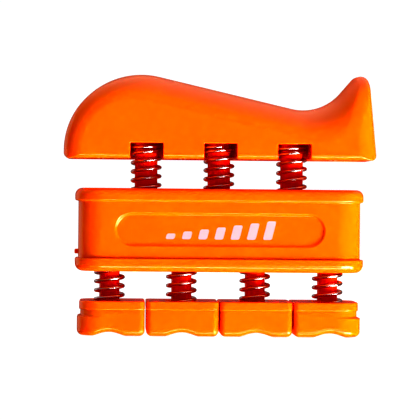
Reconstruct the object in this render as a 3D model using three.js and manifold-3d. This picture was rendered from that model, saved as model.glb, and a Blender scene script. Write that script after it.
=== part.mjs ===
// Finger exerciser: a contoured palm rest and four finger buttons, all sprung against one hollow
// body. Three posts guide the palm rest and four guide the buttons. Each post ends inside the body
// in a washer and a screw, which stop its spring from pushing it out.
// Millimetres, +Z up, +X along the row of fingers, -Y is the front with the recessed panel.
// The origin is on the surface that the buttons stand on, below the middle of the palm rest.

import * as THREE from "three";
import { mergeVertices } from "three/addons/utils/BufferGeometryUtils.js";
import Module from "manifold-3d";

const wasm = await Module();
wasm.setup();

// ---- Driving dimensions ----

const FINGER_PITCH = 18.8;
const FINGER_X = [-1.5, -0.5, 0.5, 1.5].map((step) => step * FINGER_PITCH);
const PALM_X = [-1, 0, 1].map((step) => step * FINGER_PITCH);
const SIDE_NAMES = ["left", "centre", "right"];

// Heights of the stack
const PARTING_Z = 6.6; // between a finger pad and its plunger
const BUTTON_TOP = 8.8;
const COVER_BOTTOM = 16.4;
const COVER_TOP = 19.7;
const RIM_BOTTOM = 34.35;
const BODY_TOP = 37.6;
const PALM_BOTTOM = 45.2;

// Springs, all seven alike, and the pockets that they stand in
const SPRING_LENGTH = 14; // from seat to seat
const SPRING_PITCH = 2.28;
const SPRING_RADIUS = 3.55; // to the middle of the wire
const WIRE = 0.9;
const POCKET_RADIUS = 4.4;
const NICHE_TOP = 49.25;
const BODY_POCKET_FLOOR = NICHE_TOP - SPRING_LENGTH;
const PLUNGER_POCKET_FLOOR = 5.6;
const COVER_POCKET_CEILING = PLUNGER_POCKET_FLOOR + SPRING_LENGTH;
const PALM_SPRING_START = 0.6; // in turns about its post
const FINGER_SPRING_STARTS = [0, 0.5, 0.1, 0.35];

// Posts, the bosses that guide them, and what holds them
const PALM_POST_RADIUS = 2.9;
const FINGER_POST_RADIUS = 2.6;
const POST_CLEARANCE = 0.15;
const BOSS_RADIUS = 5.6;
const PALM_BOSS_BOTTOM = 33.3;
const FINGER_BOSS_TOP = 21.5;
const SEAT_GAP = 0.2; // stands for contact between two pieces
const SCREW = { headRadius: 2.3, headHeight: 1.6, shankRadius: 1.1, length: 6 };
const PILOT = { radius: 1.3, depth: 6.5 };
const WASHER = { outer: 4.1, inner: 1.5, thickness: 0.8 };

// Body and cover, as half lengths and the radius of the corners in plan
const WALL_HALF = { x: 36.15, y: 11.15, corner: 6.4 };
const RIM_HALF = { x: 37, y: 12, corner: 7.25 };
const RIM_ROUND = 1.8;
const FLANGE_ROUND = 2;
const BODY_WALL = 2;
const BODY_CEILING = 35.6;
const COVER_FLOOR_TOP = 18.6;
const PLUG = { top: 22, wall: 1.2 };
const CATCH = { x: FINGER_PITCH, halfX: 4, z0: 20.5, z1: 21.3, reach: 0.35, gap: 0.25 };
const NIB = { reach: 1, halfY: 0.9, z0: 20.7, z1: 21.9 };
const PANEL = { halfX: 26.7, halfZ: 4.22, z: 27.1, depth: 0.7, slope: 0.4 };

// Buttons
const BAND = { gap: 0.15, outward: 7.55, halfY: 11 };
const PAD = { gap: 0.2, outward: 7.25, halfY: 10.75, floor: 2.4, wall: 1.2, round: 1.3 };
const LEDGE = { outward: 8.1, top: 5, round: 2 };
const OUTER_CORNER = 5.8;
const INNER_CORNER = 1.4;
const DIP = { half: 4.2, depth: 1 };
const SKIRT = { bottom: 4.6, wall: 0.9 };
const CUP_FLOOR = 1.5;

// Palm rest
const PALM_HALF_Y = 12;
const PALM_WALL = 2;
const NICHE_HALF_X = 4.2;
const TRAY = { bottom: 45.4, floorTop: 47.8, top: 50.5, halfX: 36.9, halfY: 9.4, corner: 4 };
const BASE_SCREW_X = [-30.5, -9.4, 9.4, 29.5];
const BASE_BOSS_RADIUS = 3;

// ---- Materials ----

const orange = new THREE.MeshStandardMaterial({ color: 0xfa6a08, roughness: 0.32, metalness: 0 });
const steel = new THREE.MeshStandardMaterial({ color: 0xc4c4c8, roughness: 0.28, metalness: 1 });

// ---- Solids ----

// A closed three.js geometry as a solid that can be cut and joined.
function solid(geometry) {
  const bare = new THREE.BufferGeometry();
  const flat = geometry.index ? geometry.toNonIndexed() : geometry;
  bare.setAttribute("position", flat.getAttribute("position"));
  const merged = mergeVertices(bare, 1e-4);
  return new wasm.Manifold(new wasm.Mesh({
    numProp: 3,
    vertProperties: new Float32Array(merged.attributes.position.array),
    triVerts: new Uint32Array(merged.index.array),
  }));
}

function join(first, ...others) {
  return others.reduce((sum, other) => sum.add(other), first);
}

function cut(first, ...others) {
  return others.reduce((rest, other) => rest.subtract(other), first);
}

// A solid as a named mesh.
function piece(name, body, material) {
  const { numProp, numVert, vertProperties, triVerts } = body.getMesh();
  const positions = new Float32Array(numVert * 3);
  for (let i = 0; i < numVert; i++) {
    positions.set(vertProperties.subarray(i * numProp, i * numProp + 3), i * 3);
  }
  const geometry = new THREE.BufferGeometry();
  geometry.setAttribute("position", new THREE.BufferAttribute(positions, 3));
  geometry.setIndex(new THREE.BufferAttribute(new Uint32Array(triVerts), 1));
  geometry.computeVertexNormals();
  const mesh = new THREE.Mesh(geometry, material);
  mesh.name = name;
  return mesh;
}

// A box between two opposite corners, low and high.
function box([x0, y0, z0], [x1, y1, z1]) {
  const geometry = new THREE.BoxGeometry(x1 - x0, y1 - y0, z1 - z0);
  geometry.translate((x0 + x1) / 2, (y0 + y1) / 2, (z0 + z1) / 2);
  return solid(geometry);
}

// An upright cylinder on the line y = 0.
function rod(radius, z0, z1, x = 0, segments = 20) {
  const geometry = new THREE.CylinderGeometry(radius, radius, z1 - z0, segments);
  geometry.rotateX(Math.PI / 2);
  geometry.translate(x, 0, (z0 + z1) / 2);
  return solid(geometry);
}

// A skin over rings that all have the same number of points, closed by a flat cap at each end.
// flatten gives a ring point's two coordinates in the plane of the caps.
function loft(rings, flatten) {
  const count = rings[0].length;
  const positions = rings.flat().flatMap((point) => point.toArray());
  const faces = [];
  for (let ring = 0; ring + 1 < rings.length; ring++) {
    for (let i = 0; i < count; i++) {
      const a = ring * count + i;
      const b = ring * count + ((i + 1) % count);
      faces.push(a, b, b + count, a, b + count, a + count);
    }
  }
  const last = (rings.length - 1) * count;
  const capFaces = (ring) => THREE.ShapeUtils.triangulateShape(ring.map(flatten), []);
  capFaces(rings[0]).forEach(([a, b, c]) => faces.push(a, c, b));
  capFaces(rings.at(-1)).forEach(([a, b, c]) => faces.push(last + a, last + b, last + c));
  const geometry = new THREE.BufferGeometry();
  geometry.setAttribute("position", new THREE.Float32BufferAttribute(positions, 3));
  geometry.setIndex(faces);
  return solid(geometry);
}

// The points of a rounded edge, as [inset, distance from the end face], from that face on.
function quarterRound(radius, steps) {
  return Array.from({ length: steps + 1 }, (_, i) => {
    const angle = (i / steps) * (Math.PI / 2);
    return [radius * (1 - Math.sin(angle)), radius * (1 - Math.cos(angle))];
  });
}

// A rounded rectangle, anticlockwise from the middle of its +X side.
function rectangleRing({ x, y, corner }, inset, z, cornerSteps = 4) {
  const radius = Math.max(corner - inset, 0.2);
  const points = [];
  for (let quarter = 0; quarter < 4; quarter++) {
    const cornerX = (quarter === 1 || quarter === 2 ? -1 : 1) * (x - inset - radius);
    const cornerY = (quarter > 1 ? -1 : 1) * (y - inset - radius);
    for (let i = 0; i <= cornerSteps; i++) {
      const angle = (quarter + i / cornerSteps) * (Math.PI / 2);
      points.push(new THREE.Vector3(
        cornerX + radius * Math.cos(angle),
        cornerY + radius * Math.sin(angle),
        z,
      ));
    }
  }
  return points;
}

// An upright slab with rounded corners, whose lower and upper edges may be rounded too.
function slab(half, z0, z1, lowerRound = 0, upperRound = 0) {
  const profile = (radius) => (radius ? quarterRound(radius, 3) : [[0, 0]]);
  const lower = profile(lowerRound).map(([inset, rise]) => rectangleRing(half, inset, z0 + rise));
  const upper = profile(upperRound).map(([inset, drop]) => rectangleRing(half, inset, z1 - drop));
  return loft([...lower, ...upper.reverse()], (point) => new THREE.Vector2(point.x, point.y));
}

// ---- Springs, screws and washers ----

// The line of a compression spring's wire, with a closed turn at each end.
class SpringLine extends THREE.Curve {
  constructor(start) {
    super();
    this.start = start;
    this.rise = SPRING_LENGTH - 2 * SEAT_GAP - WIRE;
    this.activeTurns = (this.rise - 2 * WIRE) / SPRING_PITCH;
    this.turns = this.activeTurns + 2;
  }

  heightAt(turn) {
    if (turn < 1) return turn * WIRE;
    if (turn > this.turns - 1) return this.rise - (this.turns - turn) * WIRE;
    return WIRE + (turn - 1) * SPRING_PITCH;
  }

  getPoint(share, target = new THREE.Vector3()) {
    const turn = share * this.turns;
    const angle = (turn + this.start) * 2 * Math.PI;
    return target.set(
      SPRING_RADIUS * Math.cos(angle),
      SPRING_RADIUS * Math.sin(angle),
      this.heightAt(turn),
    );
  }
}

// A spring standing on a seat at z0. Start says how far it is turned about its post.
function spring(z0, start) {
  const line = new SpringLine(start);
  const section = new THREE.Shape().absarc(0, 0, WIRE / 2, 0, 2 * Math.PI);
  const geometry = new THREE.ExtrudeGeometry(section, {
    extrudePath: line,
    steps: Math.round(line.turns * 9),
    curveSegments: 3,
  });
  geometry.translate(0, 0, z0 + SEAT_GAP + WIRE / 2);
  return solid(geometry);
}

// A pan-head screw with a cross recess. Its head's bearing face is at z = 0, its shank above.
function screw() {
  const { headRadius, headHeight, shankRadius, length } = SCREW;
  const profile = [
    [0, -headHeight],
    [headRadius * 0.7, -headHeight],
    [headRadius, -headHeight * 0.5],
    [headRadius, 0],
    [shankRadius, 0],
    [shankRadius, length - shankRadius],
    [0, length],
  ];
  const points = profile.map(([r, z]) => new THREE.Vector2(r, z));
  const geometry = new THREE.LatheGeometry(points, 10);
  geometry.rotateX(Math.PI / 2);
  const slotFloor = -headHeight * 0.4;
  const slots = [[1.3, 0.25], [0.25, 1.3]].map(([x, y]) => (
    box([-x, -y, -headHeight - 1], [x, y, slotFloor])
  ));
  return cut(solid(geometry), ...slots);
}

function washer() {
  const { outer, inner, thickness } = WASHER;
  return cut(rod(outer, 0, thickness, 0, 16), rod(inner, -1, thickness + 1, 0, 10));
}

// ---- Palm rest ----

// The rest's side view as straight edges in order round it, anticlockwise. Each is given by a
// point on it, its direction in degrees and the radius of the corner at its end (negative in the
// valley). Seen along the edge, its rounding to the front and back faces is a quarter of an
// ellipse, which reaches so far in from the face and drops so far below the edge. On top the two
// quarters meet in a dome.
const PALM_EDGES = [
  { name: "underside", at: [0, PALM_BOTTOM], direction: 0, corner: 1.3, reach: 1.3, drop: 1.3 },
  { name: "right end", at: [40.1, 45.2], direction: 95.5, corner: 2.4, reach: 5.1, drop: 5.1 },
  { name: "horn", at: [31.07, 62.64], direction: 229.3, corner: -12.75, reach: 12, drop: 7.6 },
  { name: "slope", at: [-15.62, 66.39], direction: 167, corner: 19.9, reach: 12, drop: 7.6 },
  { name: "left end", at: [-40, 50], direction: 270, corner: 1.3, reach: 5.1, drop: 5.1 },
];
const [, TIP, VALLEY] = PALM_EDGES.keys(); // the edges that end at the horn's tip and the valley
const RIDGE_CORNER = 2; // of the outline at the tip, where it is moved far in
const TIGHTEST_CORNER = 0.35;

// The corners of the side view when every edge is moved inwards by its inset.
function insetCorners(insets) {
  const lines = PALM_EDGES.map(({ at, direction }, i) => {
    const angle = THREE.MathUtils.degToRad(direction);
    const along = new THREE.Vector2(Math.cos(angle), Math.sin(angle));
    const inwards = new THREE.Vector2(-along.y, along.x);
    return { along, inwards, start: new THREE.Vector2(...at).addScaledVector(inwards, insets[i]) };
  });
  return lines.map(({ along, inwards, start }, i) => {
    const next = lines[(i + 1) % lines.length];
    const reach = next.start.clone().sub(start).cross(next.along) / along.cross(next.along);
    const turn = Math.atan2(along.cross(next.along), along.dot(next.along));
    return { along, inwards, turn, vertex: start.clone().addScaledVector(along, reach) };
  });
}

// The inset side view with its corners rounded. The valley's curve is as round as the straight
// stretch between it and the horn's tip allows.
function palmOutline(insets, arcSteps) {
  const corners = insetCorners(insets);
  const radii = PALM_EDGES.map(({ corner }, i) => {
    const deeper = Math.max(insets[i], insets[(i + 1) % insets.length]);
    const least = Math.min(corner, i === TIP ? RIDGE_CORNER : TIGHTEST_CORNER);
    return Math.max(corner - deeper, least);
  });
  const tangentOf = (i) => Math.abs(Math.tan(corners[i].turn / 2));
  const stretch = corners[TIP].vertex.distanceTo(corners[VALLEY].vertex);
  const free = stretch - radii[TIP] * tangentOf(TIP) - 0.1;
  radii[VALLEY] = Math.max(PALM_EDGES[VALLEY].corner, -free / tangentOf(VALLEY));
  return corners.flatMap(({ along, inwards, turn, vertex }, i) => {
    const from = vertex.clone().addScaledVector(along, -Math.abs(radii[i]) * tangentOf(i));
    const centre = from.clone().addScaledVector(inwards, radii[i]);
    return Array.from({ length: arcSteps[i] + 1 }, (_, step) => (
      from.clone().rotateAround(centre, (turn * step) / arcSteps[i])
    ));
  });
}

// The rest's form, or with a margin the hollow inside it, which is open below. Its rings stand at
// the given shares of the half depth, from the middle to a face, and at their mirror images.
function palmForm(margin, arcSteps, levels) {
  const halfY = PALM_HALF_Y - margin;
  const mirrored = levels.slice(1).map((level) => -level).reverse();
  const rings = [...mirrored, ...levels].map((level) => {
    const insets = PALM_EDGES.map(({ name, reach, drop }) => {
      if (margin && name === "underside") return -3;
      const start = PALM_HALF_Y - reach;
      const share = Math.max(Math.abs(level) * halfY - start, 0) / (halfY - start);
      return margin + (drop - margin) * (1 - Math.sqrt(1 - share ** 2));
    });
    return palmOutline(insets, arcSteps).map(({ x, y: z }) => new THREE.Vector3(x, level * halfY, z));
  });
  return loft(rings.reverse(), (point) => new THREE.Vector2(point.x, point.z));
}

function palmRest() {
  const outer = palmForm(0, [2, 5, 7, 12, 2], [0, 0.25, 0.45, 0.6, 0.72, 0.82, 0.9, 0.96, 0.99, 1]);
  const hollow = palmForm(PALM_WALL, [1, 3, 5, 8, 1], [0, 0.4, 0.7, 0.88, 1]);
  const windows = PALM_X.map((x) => box(
    [x - NICHE_HALF_X, -PALM_HALF_Y - 1, PALM_BOTTOM - 1],
    [x + NICHE_HALF_X, -PALM_HALF_Y + PALM_WALL + 1, NICHE_TOP],
  ));
  const bossBottom = TRAY.floorTop + SEAT_GAP;
  const bosses = BASE_SCREW_X.map((x) => (
    rod(BASE_BOSS_RADIUS, bossBottom, bossBottom + 30, x, 12).intersect(outer)
  ));
  const pilots = BASE_SCREW_X.map((x) => (
    rod(PILOT.radius, bossBottom - 1, bossBottom + PILOT.depth, x, 8)
  ));
  return cut(join(cut(outer, hollow), ...bosses), ...windows, ...pilots);
}

// The tray closes the rest's underside. Over each of its posts is a housing with a niche, open
// below and in front, where the spring shows through the window of the rest.
function palmBase() {
  const { bottom, floorTop, top, halfY } = TRAY;
  const plate = slab({ x: TRAY.halfX, y: halfY, corner: TRAY.corner }, bottom, floorTop);
  const housings = PALM_X.map((x) => join(
    rod(BOSS_RADIUS, bottom, top, x),
    box([x - BOSS_RADIUS, -halfY, bottom], [x + BOSS_RADIUS, 0, top]),
  ));
  const niches = PALM_X.map((x) => join(
    rod(NICHE_HALF_X, bottom - 1, NICHE_TOP, x),
    box([x - NICHE_HALF_X, -halfY - 1, bottom - 1], [x + NICHE_HALF_X, 0, NICHE_TOP]),
  ));
  const screwHoles = BASE_SCREW_X.map((x) => join(
    rod(SCREW.shankRadius + 0.3, bottom - 1, floorTop + 1, x, 12),
    rod(SCREW.headRadius + 0.3, bottom - 1, bottom + SCREW.headHeight, x),
  ));
  const foot = PALM_BOSS_BOTTOM - SEAT_GAP;
  const posts = PALM_X.map((x) => rod(PALM_POST_RADIUS, foot, top - 1, x));
  const pilots = PALM_X.map((x) => rod(PILOT.radius, foot - 1, foot + PILOT.depth, x, 8));
  const tray = cut(join(plate, ...housings), ...niches, ...screwHoles);
  return cut(join(tray, ...posts), ...pilots);
}

// ---- Body ----

// The tool for the shallow panel in the front (side 1) or back (side -1) wall. Its edge slopes.
function panelRecess(side) {
  const { halfX, halfZ, z, depth, slope } = PANEL;
  const half = { x: halfX, y: halfZ, corner: halfZ };
  const rings = [
    rectangleRing(half, slope, -depth, 6),
    rectangleRing(half, 0, 0, 6),
    rectangleRing(half, -slope, depth, 6),
  ];
  const upright = (point) => new THREE.Vector3(
    side * point.x,
    -side * (WALL_HALF.y + point.z),
    z + point.y,
  );
  return loft(
    rings.map((ring) => ring.map(upright)),
    (point) => new THREE.Vector2(side * point.x, point.z),
  );
}

// The catches' place near the parting line, grown by gap to make the tools for their pockets.
function catchBoxes(wallY, gap = 0) {
  return [-1, 1].flatMap((side) => [-CATCH.x, CATCH.x].map((x) => {
    const ends = [side * (wallY - 0.4), side * (wallY + CATCH.reach + gap)];
    return box(
      [x - CATCH.halfX - gap, Math.min(...ends), CATCH.z0 - gap],
      [x + CATCH.halfX + gap, Math.max(...ends), CATCH.z1 + gap],
    );
  }));
}

function insetHalf({ x, y, corner }, inset) {
  return { x: x - inset, y: y - inset, corner: corner - inset };
}

// A tub, open below, whose ceiling carries the bosses that guide the palm rest's posts.
function bodyShell() {
  const wall = slab(WALL_HALF, COVER_TOP + SEAT_GAP, RIM_BOTTOM + 1);
  const rim = slab(RIM_HALF, RIM_BOTTOM, BODY_TOP, 0, RIM_ROUND);
  const hollow = slab(insetHalf(WALL_HALF, BODY_WALL), COVER_TOP - 1, BODY_CEILING);
  const bosses = PALM_X.map((x) => rod(BOSS_RADIUS, PALM_BOSS_BOTTOM, BODY_CEILING + 1, x));
  const pockets = PALM_X.map((x) => rod(POCKET_RADIUS, BODY_POCKET_FLOOR, BODY_TOP + 1, x));
  const guides = PALM_X.map((x) => (
    rod(PALM_POST_RADIUS + POST_CLEARANCE, PALM_BOSS_BOTTOM - 1, BODY_TOP, x)
  ));
  // A small moulded nib near the foot of the left end.
  const nib = box(
    [-WALL_HALF.x - NIB.reach, -NIB.halfY, NIB.z0],
    [-WALL_HALF.x + 1, NIB.halfY, NIB.z1],
  );
  const tub = join(cut(join(wall, rim), hollow), ...bosses, nib);
  const catchPockets = catchBoxes(WALL_HALF.y - BODY_WALL - SEAT_GAP, CATCH.gap);
  return cut(tub, ...pockets, ...guides, panelRecess(1), panelRecess(-1), ...catchPockets);
}

// The floor of the body: a flange flush with the rim, and a plug with catches that snaps inside
// the walls, round the bosses that guide the four buttons' posts.
function bodyCover() {
  const flange = slab(RIM_HALF, COVER_BOTTOM, COVER_TOP, FLANGE_ROUND, 0);
  const plugHalf = insetHalf(WALL_HALF, BODY_WALL + SEAT_GAP);
  const plug = slab(plugHalf, COVER_FLOOR_TOP - 0.5, PLUG.top);
  const hollow = slab(insetHalf(plugHalf, PLUG.wall), COVER_FLOOR_TOP, PLUG.top + 1);
  const bosses = FINGER_X.map((x) => rod(BOSS_RADIUS, COVER_FLOOR_TOP - 1, FINGER_BOSS_TOP, x));
  const pockets = FINGER_X.map((x) => rod(POCKET_RADIUS, COVER_BOTTOM - 1, COVER_POCKET_CEILING, x));
  const guides = FINGER_X.map((x) => (
    rod(FINGER_POST_RADIUS + POST_CLEARANCE, COVER_BOTTOM, FINGER_BOSS_TOP + 1, x)
  ));
  const shell = join(cut(join(flange, plug), hollow), ...bosses, ...catchBoxes(plugHalf.y));
  return cut(shell, ...pockets, ...guides);
}

// ---- Finger buttons ----

// Where a button begins and ends along X. Its outer end, if it has one, is outward of the post.
function buttonEnds(index, gap, outward) {
  const half = FINGER_PITCH / 2 - gap;
  return [
    FINGER_X[index] - (index === 0 ? outward : half),
    FINGER_X[index] + (index === 3 ? outward : half),
  ];
}

// An upright block with the plan of a button, moved in on every side by inset.
function buttonBlock(index, { gap, outward, halfY }, z0, z1, inset = 0) {
  const [x0, x1] = buttonEnds(index, gap, outward);
  const [left, right, half] = [x0 + inset, x1 - inset, halfY - inset];
  const leftCorner = Math.max((index === 0 ? OUTER_CORNER : INNER_CORNER) - inset, 0.4);
  const rightCorner = Math.max((index === 3 ? OUTER_CORNER : INNER_CORNER) - inset, 0.4);
  const plan = new THREE.Shape();
  plan.absarc(right - rightCorner, -half + rightCorner, rightCorner, -Math.PI / 2, 0);
  plan.absarc(right - rightCorner, half - rightCorner, rightCorner, 0, Math.PI / 2);
  plan.absarc(left + leftCorner, half - leftCorner, leftCorner, Math.PI / 2, Math.PI);
  plan.absarc(left + leftCorner, -half + leftCorner, leftCorner, Math.PI, Math.PI * 1.5);
  const geometry = new THREE.ExtrudeGeometry(plan, {
    depth: z1 - z0,
    bevelEnabled: false,
    curveSegments: 2,
  });
  geometry.translate(0, 0, z0);
  return solid(geometry);
}

// The side view of a pad, rounded below, with a dip for the finger, drawn out along Y.
function padSideForm(index) {
  const x = FINGER_X[index];
  const top = PARTING_Z - SEAT_GAP;
  const [x0, x1] = buttonEnds(index, PAD.gap, LEDGE.outward);
  const leftRound = index === 0 ? LEDGE.round : PAD.round;
  const rightRound = index === 3 ? LEDGE.round : PAD.round;
  const side = new THREE.Shape();
  side.moveTo(x0 + leftRound, 0);
  side.lineTo(x - DIP.half, 0);
  side.bezierCurveTo(x - DIP.half / 2, 0, x - DIP.half / 2, DIP.depth, x, DIP.depth);
  side.bezierCurveTo(x + DIP.half / 2, DIP.depth, x + DIP.half / 2, 0, x + DIP.half, 0);
  side.absarc(x1 - rightRound, rightRound, rightRound, -Math.PI / 2, 0);
  side.lineTo(x1, top);
  side.lineTo(x0, top);
  side.absarc(x0 + leftRound, leftRound, leftRound, Math.PI, Math.PI * 1.5);
  const geometry = new THREE.ExtrudeGeometry(side, {
    depth: 2 * PAD.halfY,
    bevelEnabled: false,
    curveSegments: 3,
  });
  geometry.rotateX(Math.PI / 2);
  geometry.translate(0, PAD.halfY, 0);
  return solid(geometry);
}

// A pad is a cup, open above, that closes the underside of a button.
function fingerPad(index) {
  const top = PARTING_Z - SEAT_GAP;
  const upper = buttonBlock(index, PAD, 0, top);
  const lower = buttonBlock(index, { ...PAD, outward: LEDGE.outward }, 0, LEDGE.top);
  const hollow = buttonBlock(index, PAD, PAD.floor, top + 1, PAD.wall);
  // Sloping cuts take off the edges of the underside along the front and back.
  const chamfers = [-1, 1].map((side) => {
    const tool = new THREE.BoxGeometry(2 * FINGER_PITCH, 1.4, 1.4);
    tool.rotateX(Math.PI / 4);
    tool.translate(FINGER_X[index], side * PAD.halfY, 0);
    return solid(tool);
  });
  return cut(join(upper, lower).intersect(padSideForm(index)), hollow, ...chamfers);
}

// A plunger is the button's top plate with a skirt that plugs into the pad, the cup that its
// spring stands in, and its post.
function fingerPlunger(index) {
  const x = FINGER_X[index];
  const plate = buttonBlock(index, BAND, PARTING_Z, BUTTON_TOP);
  const skirtInset = PAD.wall + SEAT_GAP;
  const skirt = cut(
    buttonBlock(index, PAD, SKIRT.bottom, PARTING_Z + 0.5, skirtInset),
    buttonBlock(index, PAD, SKIRT.bottom - 1, PARTING_Z, skirtInset + SKIRT.wall),
  );
  const cup = rod(BOSS_RADIUS, PLUNGER_POCKET_FLOOR - CUP_FLOOR, PARTING_Z + 0.5, x);
  const pocket = rod(POCKET_RADIUS, PLUNGER_POCKET_FLOOR, BUTTON_TOP + 1, x);
  const tip = FINGER_BOSS_TOP + SEAT_GAP;
  const post = rod(FINGER_POST_RADIUS, PLUNGER_POCKET_FLOOR - 0.5, tip, x);
  const pilot = rod(PILOT.radius, tip - PILOT.depth, tip + 1, x, 8);
  return cut(join(cut(join(plate, skirt, cup), pocket), post), pilot);
}

// ---- Assembly ----

const exerciser = new THREE.Group();

function place(name, body, material, x = 0, z = 0) {
  const mesh = piece(name, body, material);
  mesh.position.set(x, 0, z);
  exerciser.add(mesh);
  return mesh;
}

const screwSolid = screw();
const washerSolid = washer();

place("body_shell", bodyShell(), orange);
place("body_cover", bodyCover(), orange);
place("palm_rest", palmRest(), orange);
place("palm_base", palmBase(), orange);

BASE_SCREW_X.forEach((x, i) => {
  place(`palm_base_screw_${i + 1}`, screwSolid, steel, x, TRAY.bottom + SCREW.headHeight - SEAT_GAP);
});

PALM_X.forEach((x, i) => {
  const side = SIDE_NAMES[i];
  const washerZ = PALM_BOSS_BOTTOM - 2 * SEAT_GAP - WASHER.thickness;
  place(`palm_spring_${side}`, spring(BODY_POCKET_FLOOR, PALM_SPRING_START), steel, x);
  place(`palm_washer_${side}`, washerSolid, steel, x, washerZ);
  place(`palm_stop_screw_${side}`, screwSolid, steel, x, washerZ - SEAT_GAP);
});

FINGER_X.forEach((x, i) => {
  const number = i + 1;
  const washerZ = FINGER_BOSS_TOP + 2 * SEAT_GAP;
  place(`finger_pad_${number}`, fingerPad(i), orange);
  place(`finger_plunger_${number}`, fingerPlunger(i), orange);
  place(`finger_spring_${number}`, spring(PLUNGER_POCKET_FLOOR, FINGER_SPRING_STARTS[i]), steel, x);
  place(`finger_washer_${number}`, washerSolid, steel, x, washerZ);
  const stop = place(`finger_stop_screw_${number}`, screwSolid, steel, x);
  stop.rotation.x = Math.PI;
  stop.position.z = washerZ + WASHER.thickness + SEAT_GAP;
});

export default exerciser;
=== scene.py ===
"""The finger exerciser's looks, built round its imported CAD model. The pieces' shapes are in
millimetres, from the frame's boxes and the few sizes below, and each mesh is made in metres."""

import math

import bmesh
import bpy
from mathutils import Matrix, Vector


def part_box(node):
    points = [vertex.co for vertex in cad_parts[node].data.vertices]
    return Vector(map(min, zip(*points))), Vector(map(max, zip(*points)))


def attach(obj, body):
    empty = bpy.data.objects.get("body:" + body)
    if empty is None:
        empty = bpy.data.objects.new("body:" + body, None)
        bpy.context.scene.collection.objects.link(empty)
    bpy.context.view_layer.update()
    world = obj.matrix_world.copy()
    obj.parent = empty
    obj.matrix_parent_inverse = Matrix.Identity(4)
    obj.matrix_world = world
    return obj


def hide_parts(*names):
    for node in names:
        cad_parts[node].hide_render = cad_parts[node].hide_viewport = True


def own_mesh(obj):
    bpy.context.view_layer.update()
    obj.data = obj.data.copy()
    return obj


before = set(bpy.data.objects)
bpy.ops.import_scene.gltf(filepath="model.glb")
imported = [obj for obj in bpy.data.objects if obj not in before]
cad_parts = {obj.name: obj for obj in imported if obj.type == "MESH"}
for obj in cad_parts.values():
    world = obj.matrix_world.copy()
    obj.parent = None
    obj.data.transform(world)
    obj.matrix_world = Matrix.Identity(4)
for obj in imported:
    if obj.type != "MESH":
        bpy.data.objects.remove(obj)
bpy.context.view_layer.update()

MM = 0.001


def node_box(node):
    """A CAD node's lowest and highest corner, in millimetres."""
    low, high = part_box(node)
    return low / MM, high / MM


def middle(node):
    low, high = node_box(node)
    return (low + high) / 2


# ---- Sizes ----

SIDES = ["left", "centre", "right"]
FINGERS = [1, 2, 3, 4]
PALM_X = [middle(f"palm_spring_{side}").x for side in SIDES]
FINGER_X = [middle(f"finger_spring_{number}").x for number in FINGERS]
BASE_SCREWS = [f"palm_base_screw_{number}" for number in range(1, 5)]

REST_LOW, REST_HIGH = node_box("palm_rest")
TRAY_LOW, TRAY_HIGH = node_box("palm_base")
SHELL_HIGH = node_box("body_shell")[1]
COVER_LOW, COVER_HIGH = node_box("body_cover")

# The body: its plan is a rounded rectangle, and its wall is set in under the rim and the flange.
RIM_OVERHANG = 0.85
RIM_HALF_X = COVER_HIGH.x
RIM_HALF_Y = COVER_HIGH.y
RIM_CORNER = 7.25
RIM_BOTTOM = 34.35
BODY_WALL = 2.0
BODY_CEILING = 35.6
CEILING_BOSS = {"low": 33.3, "high": 36.5, "guide_low": 32}
PANEL = {"half_x": 26.7, "half_z": 4.22, "z": 27.1, "depth": 0.7, "slope": 0.4}
NIB = {"reach": 1.0, "half_y": 0.9, "low": 20.7, "high": 21.9}
COVER_TOP = 19.7
PLUG_WALL = 1.2
PLUG_TOP = 22
COVER_FLOOR_TOP = 18.6

# Fits: the room round a spring or between two pieces, and how far a piece sinks into its
# neighbour at a parting line, so that no light comes through.
SEAT_GAP = 0.2
POST_CLEARANCE = 0.15
PARTING_OVERLAP = 0.05

# Where the springs rest in the body: the palm springs' lower ends, the finger springs' upper ones.
PALM_POCKET_FLOOR = node_box("palm_spring_left")[0].z - SEAT_GAP
FINGER_CEILING = node_box("finger_spring_1")[1].z + SEAT_GAP

# Springs, posts and screws.
POCKET_RADIUS = 4.4
BOSS_RADIUS = 5.6
PALM_POST_RADIUS = 2.9
FINGER_POST_RADIUS = 2.6
PILOT_RADIUS = 1.3
PILOT_DEPTH = 6.5
WIRE = 0.9
COIL_RADIUS = 4.0
COIL_PITCH = 2.28

# The palm side.
PALM_WALL = 2.0
NICHE_HALF_X = 4.2
NICHE_TOP = node_box("palm_spring_left")[1].z + SEAT_GAP
TRAY_BOTTOM = 45.4
TRAY_FLOOR_TOP = 47.8
TRAY_CORNER = 4
SCREW_HOLE = 1.4
SCREW_RECESS = {"radius": 2.6, "depth": 1.6}

# The buttons: a plate on a pad. The outer ends of the outer pads stand out below a ledge.
PARTING_Z = 6.6
PLATE_TOP = 8.8
PLATE_ROUND = 0.3
PAD_WALL = 1.2
PAD_EDGE = 1.4
PAD_FLOOR_TOP = 2.4
PAD_SIDE_BOTTOM = 2.6
SKIRT_BOTTOM = 4.6
SKIRT_WALL = 0.9
CUP_FLOOR = 1.5
LEDGE = 0.85
LEDGE_TOP = 5.0
OUTER_CORNER = 5.8
INNER_CORNER = 1.4
LEAST_CORNER = 0.3


# ---- Making meshes ----

def linked_mesh(name, bm):
    """A smooth-shaded object from a mesh in metres."""
    mesh = bpy.data.meshes.new(name)
    bm.to_mesh(mesh)
    bm.free()
    mesh.polygons.foreach_set("use_smooth", [True] * len(mesh.polygons))
    obj = bpy.data.objects.new(name, mesh)
    bpy.context.scene.collection.objects.link(obj)
    return obj


def make_object(name, bm):
    """A smooth-shaded object from a mesh built in millimetres."""
    bmesh.ops.recalc_face_normals(bm, faces=bm.faces)
    bmesh.ops.scale(bm, vec=(MM, MM, MM), verts=bm.verts)
    return linked_mesh(name, bm)


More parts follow.
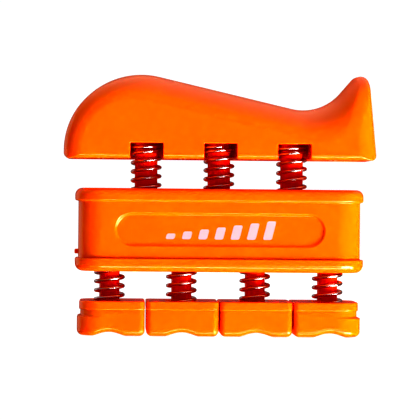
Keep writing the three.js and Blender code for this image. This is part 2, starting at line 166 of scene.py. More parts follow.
def skin(bm, rings):
    """Faces between neighbouring rings with equal numbers of points, and the rings' vertices."""
    rows = [[bm.verts.new(point) for point in ring] for ring in rings]
    for lower, upper in zip(rows, rows[1:]):
        count = len(lower)
        for i in range(count):
            after = (i + 1) % count
            bm.faces.new((lower[i], lower[after], upper[after], upper[i]))
    return rows


def loft(name, rings):
    """A skin over rings, with a flat cap at each end."""
    bm = bmesh.new()
    rows = skin(bm, rings)
    bm.faces.new(rows[0][::-1])
    bm.faces.new(rows[-1])
    return make_object(name, bm)


def circle(radius, z, x=0.0, count=64):
    steps = [2 * math.pi * i / count for i in range(count)]
    return [(x + radius * math.cos(a), radius * math.sin(a), z) for a in steps]


def rod(radius, z0, z1, x=0.0, count=64):
    return loft("tool", [circle(radius, z0, x, count=count), circle(radius, z1, x, count=count)])


def block(low, high):
    corners = [(low[0], low[1]), (high[0], low[1]), (high[0], high[1]), (low[0], high[1])]
    return loft("tool", [[(x, y, z) for x, y in corners] for z in (low[2], high[2])])


def horseshoe(radius, front_y, z0, z1, x):
    """An upright form, round behind x and straight from there to front_y."""
    steps = 32
    angles = [math.pi * i / steps for i in range(steps + 1)]
    arc = [(x + radius * math.cos(a), radius * math.sin(a)) for a in angles]
    plan = arc + [(x - radius, front_y), (x + radius, front_y)]
    return loft("tool", [[(px, py, z) for px, py in plan] for z in (z0, z1)])


def quarter_round(radius, steps=6):
    """A rounded edge as (inset, distance from the end face) pairs, from that face on."""
    angles = [math.pi / 2 * i / steps for i in range(steps + 1)]
    return [(radius * (1 - math.sin(a)), radius * (1 - math.cos(a))) for a in angles]


def rectangle(half_x, half_y, corner, z, steps=10):
    """A rounded rectangle about the Z axis, anticlockwise."""
    points = []
    for quarter in range(4):
        corner_x = (-1 if quarter in (1, 2) else 1) * (half_x - corner)
        corner_y = (-1 if quarter > 1 else 1) * (half_y - corner)
        for i in range(steps + 1):
            angle = (quarter + i / steps) * math.pi / 2
            points.append((
                corner_x + corner * math.cos(angle),
                corner_y + corner * math.sin(angle),
                z,
            ))
    return points


def apply_modifiers(obj):
    graph = bpy.context.evaluated_depsgraph_get()
    mesh = bpy.data.meshes.new_from_object(obj.evaluated_get(graph))
    obj.modifiers.clear()
    obj.data = mesh


def combine(obj, tools, operation):
    for tool in tools:
        modifier = obj.modifiers.new("combine", "BOOLEAN")
        modifier.operation = operation
        modifier.solver = "EXACT"
        modifier.object = tool
    apply_modifiers(obj)
    for tool in tools:
        bpy.data.objects.remove(tool)
    return obj


def cut(obj, *tools):
    return combine(obj, tools, "DIFFERENCE")


def join(obj, *tools):
    return combine(obj, tools, "UNION")


def soften(obj, radius, segments=3, angle=35):
    """Rounds every edge sharper than the angle, as a mould does, and evens out the shading."""
    bevel = obj.modifiers.new("rounded edges", "BEVEL")
    bevel.width = radius * MM
    bevel.segments = segments
    bevel.limit_method = "ANGLE"
    bevel.angle_limit = math.radians(angle)
    bevel.use_clamp_overlap = False
    bevel.miter_outer = "MITER_ARC"
    apply_modifiers(obj)
    obj.data.polygons.foreach_set("use_smooth", [True] * len(obj.data.polygons))
    obj.modifiers.new("even shading", "WEIGHTED_NORMAL")
    apply_modifiers(obj)
    return obj


def finished(obj, name, body, material, slot, *nodes):
    """Names a piece, paints it, and puts it in the place of its CAD nodes."""
    obj.name = name
    obj.data.name = name
    obj.data.materials.clear()
    obj.data.materials.append(material)
    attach(obj, body)
    if nodes:
        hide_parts(*nodes)
    return obj


# ---- Materials ----

def node_material(name):
    material = bpy.data.materials.new(name)
    material.use_nodes = True
    nodes = material.node_tree.nodes
    return material, nodes, material.node_tree.links, nodes["Principled BSDF"]


def object_noise(nodes, links, scale, detail=4.0):
    """Noise fixed to the piece. The scale is in features per metre."""
    place = nodes.new("ShaderNodeTexCoord")
    noise = nodes.new("ShaderNodeTexNoise")
    noise.inputs["Scale"].default_value = scale
    noise.inputs["Detail"].default_value = detail
    links.new(place.outputs["Object"], noise.inputs["Vector"])
    return noise.outputs["Fac"]


def ranged(nodes, links, value, low, high):
    """A 0 to 1 value brought into a range."""
    node = nodes.new("ShaderNodeMapRange")
    node.inputs["To Min"].default_value = low
    node.inputs["To Max"].default_value = high
    links.new(value, node.inputs["Value"])
    return node.outputs["Result"]


def mottled(nodes, links, shader, value, darker, lighter, start=0.0, end=1.0):
    """Colours a material between two tones, as a value goes from start to end."""
    ramp = nodes.new("ShaderNodeValToRGB")
    for element, position, tone in zip(ramp.color_ramp.elements, (start, end), (darker, lighter)):
        element.position = position
        element.color = tone
    links.new(value, ramp.inputs["Fac"])
    links.new(ramp.outputs["Color"], shader.inputs["Base Color"])


def rough(nodes, links, shader, value, low, high):
    """Varies a material's roughness within a range."""
    links.new(ranged(nodes, links, value, low, high), shader.inputs["Roughness"])


def bumped(nodes, links, shader, height, distance):
    """Gives a material a fine relief. The distance is its depth in metres."""
    bump = nodes.new("ShaderNodeBump")
    bump.inputs["Distance"].default_value = distance
    links.new(height, bump.inputs["Height"])
    links.new(bump.outputs["Normal"], shader.inputs["Normal"])


def moulded_plastic(name, darker, lighter):
    """Glossy moulded plastic: faint flow marks in its colour, and a slight orange-peel surface."""
    material, nodes, links, shader = node_material(name)
    mottled(nodes, links, shader, object_noise(nodes, links, 60, 3.0), darker, lighter, 0.3, 0.7)
    rough(nodes, links, shader, object_noise(nodes, links, 400), 0.14, 0.2)
    shader.inputs["IOR"].default_value = 1.5
    shader.inputs["Specular IOR Level"].default_value = 0.5
    shader.inputs["Specular Tint"].default_value = (1.0, 0.9, 0.65, 1)
    shader.inputs["Subsurface Weight"].default_value = 0.5
    shader.inputs["Subsurface Radius"].default_value = (1.0, 0.18, 0.04)
    shader.inputs["Subsurface Scale"].default_value = 0.003
    bumped(nodes, links, shader, object_noise(nodes, links, 900, 2.0), 0.000006)
    return material


def plated_wire():
    """Bright plated spring wire with fine drawing marks."""
    material, nodes, links, shader = node_material("plated_wire")
    shader.inputs["Metallic"].default_value = 1.0
    tones = (0.36, 0.32, 0.31, 1), (0.54, 0.49, 0.48, 1)
    mottled(nodes, links, shader, object_noise(nodes, links, 700), *tones)
    rough(nodes, links, shader, object_noise(nodes, links, 2500), 0.12, 0.26)
    bumped(nodes, links, shader, object_noise(nodes, links, 5000, 2.0), 0.000006)
    return material


def zinc_steel():
    """Zinc-plated steel of the screws and washers, with its cloudy spangle."""
    material, nodes, links, shader = node_material("zinc_steel")
    shader.inputs["Metallic"].default_value = 1.0
    tones = (0.42, 0.43, 0.45, 1), (0.66, 0.67, 0.7, 1)
    mottled(nodes, links, shader, object_noise(nodes, links, 1200), *tones)
    rough(nodes, links, shader, object_noise(nodes, links, 900), 0.25, 0.45)
    bumped(nodes, links, shader, object_noise(nodes, links, 3000, 2.0), 0.00001)
    return material


def pink_ink():
    """Pale pad-printing ink, with the slight mottling of a thin coat."""
    material, nodes, links, shader = node_material("pink_ink")
    tones = (0.4, 0.258, 0.282, 1), (0.43, 0.28, 0.303, 1)
    mottled(nodes, links, shader, object_noise(nodes, links, 900), *tones)
    shader.inputs["Roughness"].default_value = 0.45
    bumped(nodes, links, shader, object_noise(nodes, links, 2500), 0.00001)
    return material


def paint_post_shade(obj, radius, *post_xs):
    """Paints the posts of a moulding, and anything inside their radius, in a darker, redder orange.
    This is painted shade for the shadow that the parts around the posts cast on them.
    """
    obj.data.materials.append(SHADED_POST_ORANGE)
    reach = radius + 0.05
    for face in obj.data.polygons:
        x, y, _ = face.center / MM
        if any(math.hypot(x - post_x, y) < reach for post_x in post_xs):
            face.material_index = 1


ORANGE = moulded_plastic("orange_plastic", (0.94, 0.128, 0.002, 1), (0.97, 0.142, 0.0025, 1))
# The posts' material is painted shade: a darker, redder orange for posts that stand in shadow between
# the body and the buttons or the palm rest.
SHADED_POST_ORANGE = moulded_plastic("post_plastic_painted_shade", (0.7, 0.04, 0.002, 1), (0.78, 0.046, 0.002, 1))
SPRING_WIRE = plated_wire()
ZINC = zinc_steel()
INK = pink_ink()


# ---- Palm rest ----

# The side view's straight edges, anticlockwise from the underside: a point on each, its direction
# in degrees and the corner at its end (negative in the valley). An edge's rounding to the two
# faces is a quarter of an ellipse, with its reach in from the face and its drop below the edge.
PALM_EDGES = [
    {"at": (0, REST_LOW.z), "direction": 0, "corner": 1.3, "reach": 1.3, "drop": 1.3},
    {"at": (40.1, REST_LOW.z), "direction": 95.5, "corner": 2.4, "reach": 5.1, "drop": 5.1},
    {"at": (31.07, 62.64), "direction": 229.3, "corner": -12.75, "reach": 12, "drop": 7.6},
    {"at": (-15.62, 66.39), "direction": 167, "corner": 19.9, "reach": 12, "drop": 7.6},
    {"at": (REST_LOW.x, 50), "direction": 270, "corner": 1.3, "reach": 5.1, "drop": 5.1},
]
UNDERSIDE, TIP, VALLEY = 0, 1, 2
TIGHTEST_CORNER = 0.35
RIDGE_CORNER = 2.0


def inset_corners(insets):
    """The corners of the side view when every edge is moved inwards by its inset: each corner's
    point, its turn, and the directions along and into its edge."""
    lines = []
    for edge, inset in zip(PALM_EDGES, insets):
        angle = math.radians(edge["direction"])
        along = Vector((math.cos(angle), math.sin(angle)))
        inwards = Vector((-along.y, along.x))
        lines.append((Vector(edge["at"]) + inwards * inset, along, inwards))
    corners = []
    for (start, along, inwards), (next_start, next_along, _) in zip(lines, lines[1:] + lines[:1]):
        turn = math.atan2(along.cross(next_along), along.dot(next_along))
        reach = (next_start - start).cross(next_along) / along.cross(next_along)
        corners.append((start + along * reach, turn, along, inwards))
    return corners


def palm_outline(insets, arc_steps):
    """The inset side view with its corners rounded. The valley's curve is as round as the
    straight stretch between it and the horn's tip allows."""
    corners = inset_corners(insets)
    radii = []
    for i, edge in enumerate(PALM_EDGES):
        least = min(edge["corner"], RIDGE_CORNER if i == TIP else TIGHTEST_CORNER)
        deeper = max(insets[i], insets[(i + 1) % len(insets)])
        radii.append(max(edge["corner"] - deeper, least))
    tangents = [abs(math.tan(turn / 2)) for _, turn, _, _ in corners]
    stretch = (corners[VALLEY][0] - corners[TIP][0]).length
    free = stretch - radii[TIP] * tangents[TIP] - 0.1
    radii[VALLEY] = max(PALM_EDGES[VALLEY]["corner"], -free / tangents[VALLEY])
    points = []
    for i, (corner, turn, along, inwards) in enumerate(corners):
        spoke = corner - along * abs(radii[i]) * tangents[i]
        centre = spoke + inwards * radii[i]
        for step in range(arc_steps[i] + 1):
            points.append(centre + Matrix.Rotation(turn * step / arc_steps[i], 2) @ (spoke - centre))
    return points


def palm_form(margin, arc_steps, steps):
    """The rest's form, or with a margin the hollow inside it, which is open below."""
    half_y = REST_HIGH.y - margin
    rings = []
    for i in range(-steps, steps + 1):
        y = half_y * math.sin(math.pi / 2 * i / steps)
        insets = []
        for edge in PALM_EDGES:
            start = REST_HIGH.y - edge["reach"]
            share = max(abs(y) - start, 0) / (half_y - start)
            insets.append(margin + (edge["drop"] - margin) * (1 - math.sqrt(max(1 - share ** 2, 0))))
        if margin:
            insets[UNDERSIDE] = -3
        rings.append([(p.x, y, p.y) for p in palm_outline(insets, arc_steps)])
    return loft("palm_form", rings)


def palm_rest():
    outer = palm_form(0, [5, 12, 24, 36, 5], 26)
    hollow = palm_form(PALM_WALL, [1, 3, 6, 8, 1], 6)
    windows = [
        block(
            (x - NICHE_HALF_X, REST_LOW.y - 1, REST_LOW.z - 1),
            (x + NICHE_HALF_X, REST_LOW.y + PALM_WALL + 1, NICHE_TOP),
        )
        for x in PALM_X
    ]
    rest = soften(cut(outer, hollow, *windows), 0.22)
    finished(rest, "palm_rest_moulding", "palm", ORANGE, "orange_plastic", "palm_rest")


def palm_base():
    """The tray inside the palm rest: a round-backed niche round each post, and the posts."""
    tray_plan = TRAY_HIGH.x, TRAY_HIGH.y, TRAY_CORNER
    base = loft("tray", [rectangle(*tray_plan, z) for z in (TRAY_BOTTOM, TRAY_FLOOR_TOP)])
    walls = [
        horseshoe(BOSS_RADIUS, TRAY_LOW.y + 0.01, TRAY_BOTTOM + 0.01, TRAY_HIGH.z, x)
        for x in PALM_X
    ]
    niches = [
        horseshoe(NICHE_HALF_X, TRAY_LOW.y - 1, TRAY_BOTTOM - 1, NICHE_TOP, x)
        for x in PALM_X
    ]
    cut(join(base, *walls), *niches)
    for name in BASE_SCREWS:
        x = middle(name).x
        hole = rod(SCREW_HOLE, TRAY_BOTTOM - 1, TRAY_FLOOR_TOP + 1, x)
        recess = rod(SCREW_RECESS["radius"], TRAY_BOTTOM - 1, TRAY_BOTTOM + SCREW_RECESS["depth"], x)
        cut(base, hole, recess)
    soften(base, 0.18)
    for x in PALM_X:
        post = cut(
            rod(PALM_POST_RADIUS, TRAY_LOW.z, NICHE_TOP + 0.5, x, 96),
            rod(PILOT_RADIUS, TRAY_LOW.z - 1, TRAY_LOW.z + PILOT_DEPTH, x),
        )
        join(base, soften(post, 0.25))
    finished(base, "palm_base_moulding", "palm", ORANGE, "orange_plastic", "palm_base")
    paint_post_shade(base, PALM_POST_RADIUS, *PALM_X)


# ---- Body ----

def body_rings(profile):
    """Rings of the body's plan at (inset, z) pairs."""
    return [
        rectangle(RIM_HALF_X - inset, RIM_HALF_Y - inset, RIM_CORNER - inset, z)
        for inset, z in profile
    ]


def panel_tool(side):
    """The shallow panel's form, with a sloping edge, for the front (side 1) or back (side -1)."""
    face = RIM_HALF_Y - RIM_OVERHANG
    rings = []
    for inset, depth in ((PANEL["slope"], PANEL["depth"]), (-PANEL["slope"], -PANEL["depth"])):
        half_z = PANEL["half_z"] - inset
        ring = rectangle(PANEL["half_x"] - inset, half_z, half_z - 0.001, 0, 24)
        rings.append([(side * x, -side * (face - depth), PANEL["z"] + y) for x, y, _ in ring])
    return loft("panel", rings)


def shell_profile():
    """The shell's outer side as (inset, z) pairs, from its foot to its top."""
    foot = [
        (RIM_OVERHANG + inset, COVER_TOP - PARTING_OVERLAP + rise)
        for inset, rise in quarter_round(0.06, 3)
    ]
    rim_foot = [(inset, RIM_BOTTOM + rise) for inset, rise in quarter_round(0.5, 4)]
    rim_top = [(inset, SHELL_HIGH.z - drop) for inset, drop in quarter_round(1.8, 8)]
    return foot + [(RIM_OVERHANG, RIM_BOTTOM)] + rim_foot + rim_top[::-1]


def body_shell():
    """The long housing: a tub open below, with a rim, a panel in front and back, and a nib."""
    shell = loft("shell", body_rings(shell_profile()))
    wall_inside = RIM_OVERHANG + BODY_WALL
    hollow = loft("hollow", body_rings([(wall_inside, COVER_TOP - 1), (wall_inside, BODY_CEILING)]))
    bosses = [rod(BOSS_RADIUS, CEILING_BOSS["low"], CEILING_BOSS["high"], x) for x in PALM_X]
    pockets = [rod(POCKET_RADIUS, PALM_POCKET_FLOOR, SHELL_HIGH.z + 1, x) for x in PALM_X]
    guide_radius = PALM_POST_RADIUS + POST_CLEARANCE
    guides = [rod(guide_radius, CEILING_BOSS["guide_low"], SHELL_HIGH.z, x) for x in PALM_X]
    wall_x = RIM_HALF_X - RIM_OVERHANG
    nib = block(
        (-wall_x - NIB["reach"], -NIB["half_y"], NIB["low"]),
        (-wall_x + 1, NIB["half_y"], NIB["high"]),
    )
    shell = join(cut(shell, hollow), *bosses, nib)
    shell = cut(shell, *pockets, *guides, panel_tool(1), panel_tool(-1))
    finished(soften(shell, 0.25), "body_shell_moulding", "body", ORANGE, "orange_plastic", "body_shell")


def body_cover():
    """The cover that closes the body from below: a flange, and a plug that goes up inside."""
    lower = [(inset, COVER_LOW.z + rise) for inset, rise in quarter_round(2.0, 8)]
    plug_side = RIM_OVERHANG + BODY_WALL + SEAT_GAP
    profile = lower + [(0, COVER_TOP), (plug_side, COVER_TOP), (plug_side, PLUG_TOP)]
    cover = loft("cover", body_rings(profile))
    hollow_side = plug_side + PLUG_WALL
    hollow = loft("hollow", body_rings([(hollow_side, COVER_FLOOR_TOP), (hollow_side, PLUG_TOP + 1)]))
    bosses = [rod(BOSS_RADIUS, COVER_FLOOR_TOP - 1, PLUG_TOP - 0.5, x) for x in FINGER_X]
    pockets = [rod(POCKET_RADIUS, COVER_LOW.z - 1, FINGER_CEILING, x) for x in FINGER_X]
    guide_radius = FINGER_POST_RADIUS + POST_CLEARANCE
    guides = [rod(guide_radius, COVER_LOW.z, PLUG_TOP + 1, x) for x in FINGER_X]
    cover = cut(join(cut(cover, hollow), *bosses), *pockets, *guides)
    finished(soften(cover, 0.22), "body_cover_moulding", "body", ORANGE, "orange_plastic", "body_cover")


def printed_mark():
    """A plain rising scale of bars, printed on the front panel's floor."""
    floor_y = -(RIM_HALF_Y - RIM_OVERHANG) + PANEL["depth"]
    ink_thickness = 0.03
    count = 7
    pitch = 4.2
    half_width = 1.15
    corner = 0.5
    lowest, highest = 1.5, 4.8
    lean = 0.25
    foot = PANEL["z"] - 2.4
    for i in range(count):
        x = (i - (count - 1) / 2) * pitch
        height = lowest + (highest - lowest) * i / (count - 1)
        plan = rectangle(half_width, height / 2, corner, 0, 5)
        outline = [(x + px + lean * pz, foot + height / 2 + pz) for px, pz, _ in plan]
        rings = [[(px, y, pz) for px, pz in outline] for y in (floor_y, floor_y - ink_thickness)]
        bar = loft("bar", rings)
        bar.data.polygons.foreach_set("use_smooth", [False] * len(bar.data.polygons))
        finished(bar, f"printed_bar_{i + 1}", "body", INK, "orange_plastic")


# ---- Finger buttons ----

def button_plan(index, ends, half_y, inset=0.0):
    """The front half of a button's plan, moved in by inset, as points from left to right. The
    outer ends of the outer buttons have wider corners. Index 0 is the leftmost button."""
    corner_steps = 12
    straight_steps = 40
    left = max((OUTER_CORNER if index == 0 else INNER_CORNER) - inset, LEAST_CORNER)
    right = max((OUTER_CORNER if index == 3 else INNER_CORNER) - inset, LEAST_CORNER)
    x0, x1 = ends[0] + inset, ends[1] - inset
    half = half_y - inset
    points = []
    for i in range(corner_steps + 1):
        angle = math.pi + math.pi / 2 * i / corner_steps
        points.append((x0 + left + left * math.cos(angle), -half + left + left * math.sin(angle)))
    for i in range(1, straight_steps):
        points.append((x0 + left + (x1 - right - x0 - left) * i / straight_steps, -half))
    for i in range(corner_steps + 1):
        angle = math.pi * 1.5 + math.pi / 2 * i / corner_steps
        points.append((x1 - right + right * math.cos(angle), -half + right + right * math.sin(angle)))
    return points


def wave(x, post_x):
    """The height of the finger dip over the underside."""
    half_width = 4.3
    depth = 1.0
    share = min(abs(x - post_x) / half_width, 1)
    return depth * (1 - share ** 2) ** 1.5


def round_ring(front, z_of):
    """A closed ring from a front half and its mirror image behind, with heights by x."""
    back = [(x, -y) for x, y in front[::-1]]
    return [(x, y, z_of(x)) for x, y in front + back]


def level_ring(front, z):
    return round_ring(front, lambda x: z)


def button_block(index, ends, half_y, z0, z1, inset=0.0, edge=0.0):
    """An upright block with a button's plan, whose lower and upper edges are rounded by edge."""
    rounding = quarter_round(edge) if edge else [(0, 0)]
    lower = [(more, z0 + rise) for more, rise in rounding]
    upper = [(more, z1 - drop) for more, drop in rounding][::-1]
    return loft("block", [
        level_ring(button_plan(index, ends, half_y, inset + more), z)
        for more, z in lower + upper
    ])


def pad_ends(index):
    """The ends of a pad above its ledge."""
    low, high = node_box(f"finger_pad_{index + 1}")
    return (low.x + (LEDGE if index == 0 else 0), high.x - (LEDGE if index == 3 else 0))


def pad_form(index):
    """A pad with a finger dip across its underside and every lower edge rounded."""
    low, high = node_box(f"finger_pad_{index + 1}")
    post_x = FINGER_X[index]
    full_ends = low.x, high.x
    rings = []
    for inset, rise in quarter_round(PAD_EDGE, 8):
        plan = button_plan(index, full_ends, high.y, inset)
        rings.append(round_ring(plan, lambda x, rise=rise: rise + wave(x, post_x)))
    for ends, heights in (
        (full_ends, (PAD_SIDE_BOTTOM, LEDGE_TOP - 0.3, LEDGE_TOP - 0.2)),
        (pad_ends(index), (LEDGE_TOP, LEDGE_TOP + 0.1, PARTING_Z + PARTING_OVERLAP)),
    ):
        plan = button_plan(index, ends, high.y)
        rings += [level_ring(plan, z) for z in heights]
    return underside_patch(rings)


def underside_patch(rings):
    """A skin over rings, whose lowest ring is closed by strips between its front and back."""
    bm = bmesh.new()
    rows = skin(bm, rings)
    bottom = rows[0]
    count = len(bottom)
    for i in range(count // 2 - 1):
        bm.faces.new((bottom[i + 1], bottom[i], bottom[count - 1 - i], bottom[count - 2 - i]))
    bm.faces.new(rows[-1])
    return make_object("pad", bm)


def finger_pad(index):
    """The lower part of a button, hollow from above."""
    number = index + 1
    half_y = node_box(f"finger_pad_{number}")[1].y
    ends = pad_ends(index)
    hollow = button_block(index, ends, half_y, PAD_FLOOR_TOP, PARTING_Z + 1, PAD_WALL)
    pad = soften(cut(pad_form(index), hollow), 0.12, segments=2, angle=50)
    finished(
        pad, f"finger_pad_moulding_{number}", f"finger_{number}",
        ORANGE, "orange_plastic", f"finger_pad_{number}",
    )


def finger_plunger(index):
    """The upper part of a button: its plate, a skirt inside the pad, a spring cup and the post."""
    number = index + 1
    x = FINGER_X[index]
    low, high = node_box(f"finger_plunger_{number}")
    plate_ends = low.x, high.x
    plate = button_block(index, plate_ends, high.y, PARTING_Z, PLATE_TOP, edge=PLATE_ROUND)
    ends = pad_ends(index)
    half_y = node_box(f"finger_pad_{number}")[1].y
    inset = PAD_WALL + SEAT_GAP
    skirt = button_block(index, ends, half_y, SKIRT_BOTTOM, PARTING_Z + 0.5, inset)
    inside = button_block(index, ends, half_y, SKIRT_BOTTOM - 1, PARTING_Z, inset + SKIRT_WALL)
    cut(skirt, inside)
    pocket_floor = node_box(f"finger_spring_{number}")[0].z - SEAT_GAP
    cup = rod(BOSS_RADIUS, pocket_floor - CUP_FLOOR, PARTING_Z + 0.5, x)
    pocket = rod(POCKET_RADIUS, pocket_floor, PLATE_TOP + 1, x)
    post = rod(FINGER_POST_RADIUS, pocket_floor - 0.5, high.z, x)
    pilot = rod(PILOT_RADIUS, high.z - PILOT_DEPTH, high.z + 1, x)
    plunger = cut(join(cut(join(plate, skirt, cup), pocket), post), pilot)
    soften(plunger, 0.12, segments=2, angle=50)
    finished(
        plunger, f"finger_plunger_moulding_{number}", f"finger_{number}",
        ORANGE, "orange_plastic", f"finger_plunger_{number}",
    )
    paint_post_shade(plunger, FINGER_POST_RADIUS, x)


# ---- Springs, screws and washers ----

def coil_height(turn, turns, rise):
    """The height of a wire's centre after some turns. The first and last turn lie closed."""
    if turn < 1:
        return turn * WIRE
    if turn > turns - 1:
        return rise - (turns - turn) * WIRE
    return WIRE + (turn - 1) * COIL_PITCH


def spring(node, start):
    """A coil of round wire. It starts some part of a turn round from the right."""
    low, high = node_box(node)
    x = middle(node).x
    radius = COIL_RADIUS - WIRE / 2
    slope = COIL_PITCH / (2 * math.pi * radius)
    rise = high.z - low.z - WIRE
    turns = (rise - 2 * WIRE) / COIL_PITCH + 2
    steps = round(turns * 40)
    sides = 14
    rings = []
    for step in range(steps + 1):
        turn = turns * step / steps
        angle = 2 * math.pi * (turn + start)
        outward = Vector((math.cos(angle), math.sin(angle), 0))
        along = Vector((-math.sin(angle), math.cos(angle), slope)).normalized()
        upward = outward.cross(along)
        centre = Vector((x, 0, low.z + WIRE / 2 + coil_height(turn, turns, rise))) + outward * radius
        ring = []
        for side in range(sides):
            around = 2 * math.pi * side / sides
            ring.append(centre + (outward * math.cos(around) + upward * math.sin(around)) * (WIRE / 2))
        rings.append(ring)
    coil = loft("coil", rings)
    finished(coil, f"{node}_coil", "body", SPRING_WIRE, "spring_steel", node)
    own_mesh(coil)


def springs():
    """Each spring is held still at its end in the body."""
    for side, start in zip(SIDES, (0.25, 0.03, 0.27)):
        spring(f"palm_spring_{side}", start)
    for number, start in zip(FINGERS, (0.71, 0.13, 0.5, 0.19)):
        spring(f"finger_spring_{number}", start)


def pan_head_screw(node):
    """A self-tapping pan-head screw with a cross recess, pointing up."""
    low, high = node_box(node)
    x = middle(node).x
    head_radius = 2.3
    head_height = 1.6
    dome_height = 1.1
    shank_radius = 1.1
    tip_radius = 0.1
    steps = 10
    rings = []
    for i in range(1, steps + 1):
        angle = math.pi / 2 * i / steps
        dome_z = low.z + dome_height * (1 - math.cos(angle))
        rings.append(circle(head_radius * math.sin(angle), dome_z, x))
    rings.append(circle(head_radius, low.z + head_height, x))
    rings.append(circle(shank_radius, low.z + head_height, x))
    rings.append(circle(shank_radius, high.z - shank_radius, x))
    rings.append(circle(tip_radius, high.z, x))
    long, short = 1.3, 0.28
    recess_depth = 0.9
    slots = [
        block((x - a, -b, low.z - 1), (x + a, b, low.z + recess_depth))
        for a, b in ((long, short), (short, long))
    ]
    return soften(cut(loft("screw", rings), *slots), 0.06, segments=2, angle=40)


def base_screws():
    for name in BASE_SCREWS:
        finished(pan_head_screw(name), f"{name}_head", "palm", ZINC, "zinc_steel", name)


def carried_over_metal():
    """The washers and stop screws inside the body keep their CAD shapes."""
    for name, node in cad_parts.items():
        if "washer" in name or "stop_screw" in name:
            node.data.materials.clear()
            node.data.materials.append(ZINC)


# ---- Studio ----

OBJECT_MIDDLE = Vector((0, 0, 0.034))
TABLE_RADIUS = 0.28
PAPER_ALBEDO = 0.1
TABLE_GLOW = 0.52
BOWL_GLOW = 0.95
WALL_GLOW = 0.18
CEILING_GLOW = 1.7


def lathe(name, profile):
    """A surface turned about the Z axis, facing inwards, from (radius, height) pairs in metres
    that start in the middle."""
    bm = bmesh.new()
    rows = skin(bm, [circle(radius, z, count=96) for radius, z in profile[::-1]])
    bm.faces.new(rows[-1])
    return linked_mesh(name, bm)


def paper(name, glow, albedo):
    """White paper, lit through from below as a light table is."""
    material, nodes, links, shader = node_material(name)
    tones = [(tone, tone, tone, 1) for tone in (albedo * 0.9, albedo)]
    mottled(nodes, links, shader, object_noise(nodes, links, 30), *tones)
    shader.inputs["Roughness"].default_value = 0.9
    shader.inputs["Specular IOR Level"].default_value = 0.0
    shader.inputs["Emission Color"].default_value = (1, 1, 1, 1)
    shader.inputs["Emission Strength"].default_value = glow
    return material


def studio():
    """A light table, which lights the object from below and shows in no reflection, in a white
    bowl that only the camera sees."""
    inner = 0.02
    table = lathe("light_table", [(inner, 0.0), (TABLE_RADIUS, 0.0)])
    table.data.materials.append(paper("table_paper", TABLE_GLOW, PAPER_ALBEDO))
    for ray in ("camera", "glossy", "shadow"):
        setattr(table, f"visible_{ray}", False)
    just_below = -0.0002
    floor_radius, wall_radius, wall_top = 1.2, 1.7, 2.6
    bend = wall_radius - floor_radius
    curve = [math.pi / 2 * i / 12 for i in range(13)]
    rise = [(floor_radius + bend * math.sin(a), bend * (1 - math.cos(a))) for a in curve]
    bowl = lathe("white_bowl", [(inner, just_below), *rise, (wall_radius, wall_top)])
    bowl.data.materials.append(paper("bowl_paper", BOWL_GLOW, PAPER_ALBEDO))
    for ray in ("diffuse", "glossy", "transmission", "shadow"):
        setattr(bowl, f"visible_{ray}", False)


def sky():
    """Soft light from above, falling off to dim walls."""
    world = bpy.data.worlds.new("studio")
    bpy.context.scene.world = world
    world.use_nodes = True
    nodes = world.node_tree.nodes
    links = world.node_tree.links
    direction = nodes.new("ShaderNodeTexCoord")
    parts = nodes.new("ShaderNodeSeparateXYZ")
    strength = nodes.new("ShaderNodeMapRange")
    links.new(direction.outputs["Generated"], parts.inputs[0])
    links.new(parts.outputs["Z"], strength.inputs["Value"])
    strength.inputs["From Min"].default_value = 0.3
    strength.inputs["From Max"].default_value = 1.0
    strength.inputs["To Min"].default_value = WALL_GLOW
    strength.inputs["To Max"].default_value = CEILING_GLOW
    links.new(strength.outputs["Result"], nodes["Background"].inputs["Strength"])
    nodes["Background"].inputs["Color"].default_value = (1, 1, 1, 1)


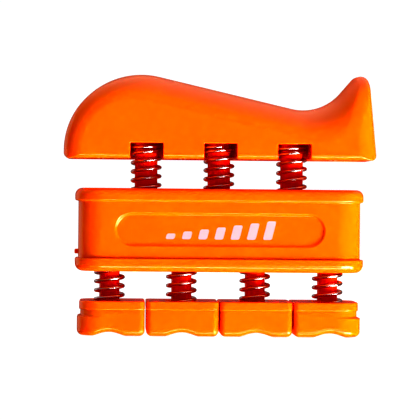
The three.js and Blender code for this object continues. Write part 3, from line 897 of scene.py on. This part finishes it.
def softbox(name, azimuth, elevation, size, strength, distance=0.6, diffuse=True, glossy=True):
    """A rectangular light towards the object. The azimuth is in degrees to the right of the front.
    Its strength is the share of full white that it gives to white paper facing it. It can be left
    out of the diffuse light or out of the reflections."""
    turn, rise = math.radians(azimuth), math.radians(elevation)
    direction = Vector((
        math.sin(turn) * math.cos(rise),
        -math.cos(turn) * math.cos(rise),
        math.sin(rise),
    ))
    light = bpy.data.lights.new(name, "AREA")
    light.shape = "RECTANGLE"
    light.size, light.size_y = size
    light.energy = strength * (math.pi * distance) ** 2
    obj = bpy.data.objects.new(name, light)
    bpy.context.scene.collection.objects.link(obj)
    obj.location = OBJECT_MIDDLE + direction * distance
    obj.rotation_euler = (-direction).to_track_quat("-Z", "Y").to_euler()
    obj.visible_camera = False
    obj.visible_diffuse = diffuse
    obj.visible_glossy = glossy


def camera():
    """At the height of the body, slightly to the left, with a long lens and a slight roll."""
    distance = 0.65
    height = 0.0338
    azimuth = math.radians(-2.2)
    roll = math.radians(0.54)
    right = Vector((math.cos(azimuth), -math.sin(azimuth), 0))
    position = Vector((math.sin(azimuth) * distance, -math.cos(azimuth) * distance, height))
    aim = Vector((0, 0, height)) - right * 0.00228 - Vector((0, 0, 0.0016))
    lens = bpy.data.cameras.new("camera")
    lens.lens = 215.5
    lens.sensor_width = 36
    obj = bpy.data.objects.new("camera", lens)
    bpy.context.scene.collection.objects.link(obj)
    turn = (aim - position).to_track_quat("-Z", "Y").to_matrix().to_4x4()
    obj.matrix_world = Matrix.Translation(position) @ turn @ Matrix.Rotation(roll, 4, "Z")
    bpy.context.scene.camera = obj


def lights():
    """The photo's light comes from the right and from below. Two narrow lights draw the pale lines
    along the lower edges and on the springs."""
    softbox("key_light", 55, -29, (0.5, 0.3), 5.1)
    softbox("fill_light", 35, -42, (0.4, 0.3), 0.9, glossy=False)
    softbox("edge_light", 12, -50, (0.5, 0.12), 0.9, diffuse=False)
    softbox("side_light", 20, -18, (0.3, 0.1), 0.3, diffuse=False)
    softbox("rim_light", -125, 5, (0.6, 0.6), 0.14, distance=0.8)
    softbox("back_light", 165, 25, (0.5, 0.5), 1.3, distance=0.8, glossy=False)


def colour_grade():
    """The photo's bright, saturated print: light middle tones, and dark places that stay red."""
    view = bpy.context.scene.view_settings
    view.view_transform = "Standard"
    view.gamma = 0.65
    view.use_curve_mapping = True
    view.curve_mapping.black_level = (-0.08, 0.04, 0.04)


palm_rest()
palm_base()
base_screws()
body_shell()
body_cover()
printed_mark()
for finger in range(4):
    finger_pad(finger)
    finger_plunger(finger)
springs()
carried_over_metal()

camera()
studio()
sky()
lights()
colour_grade()
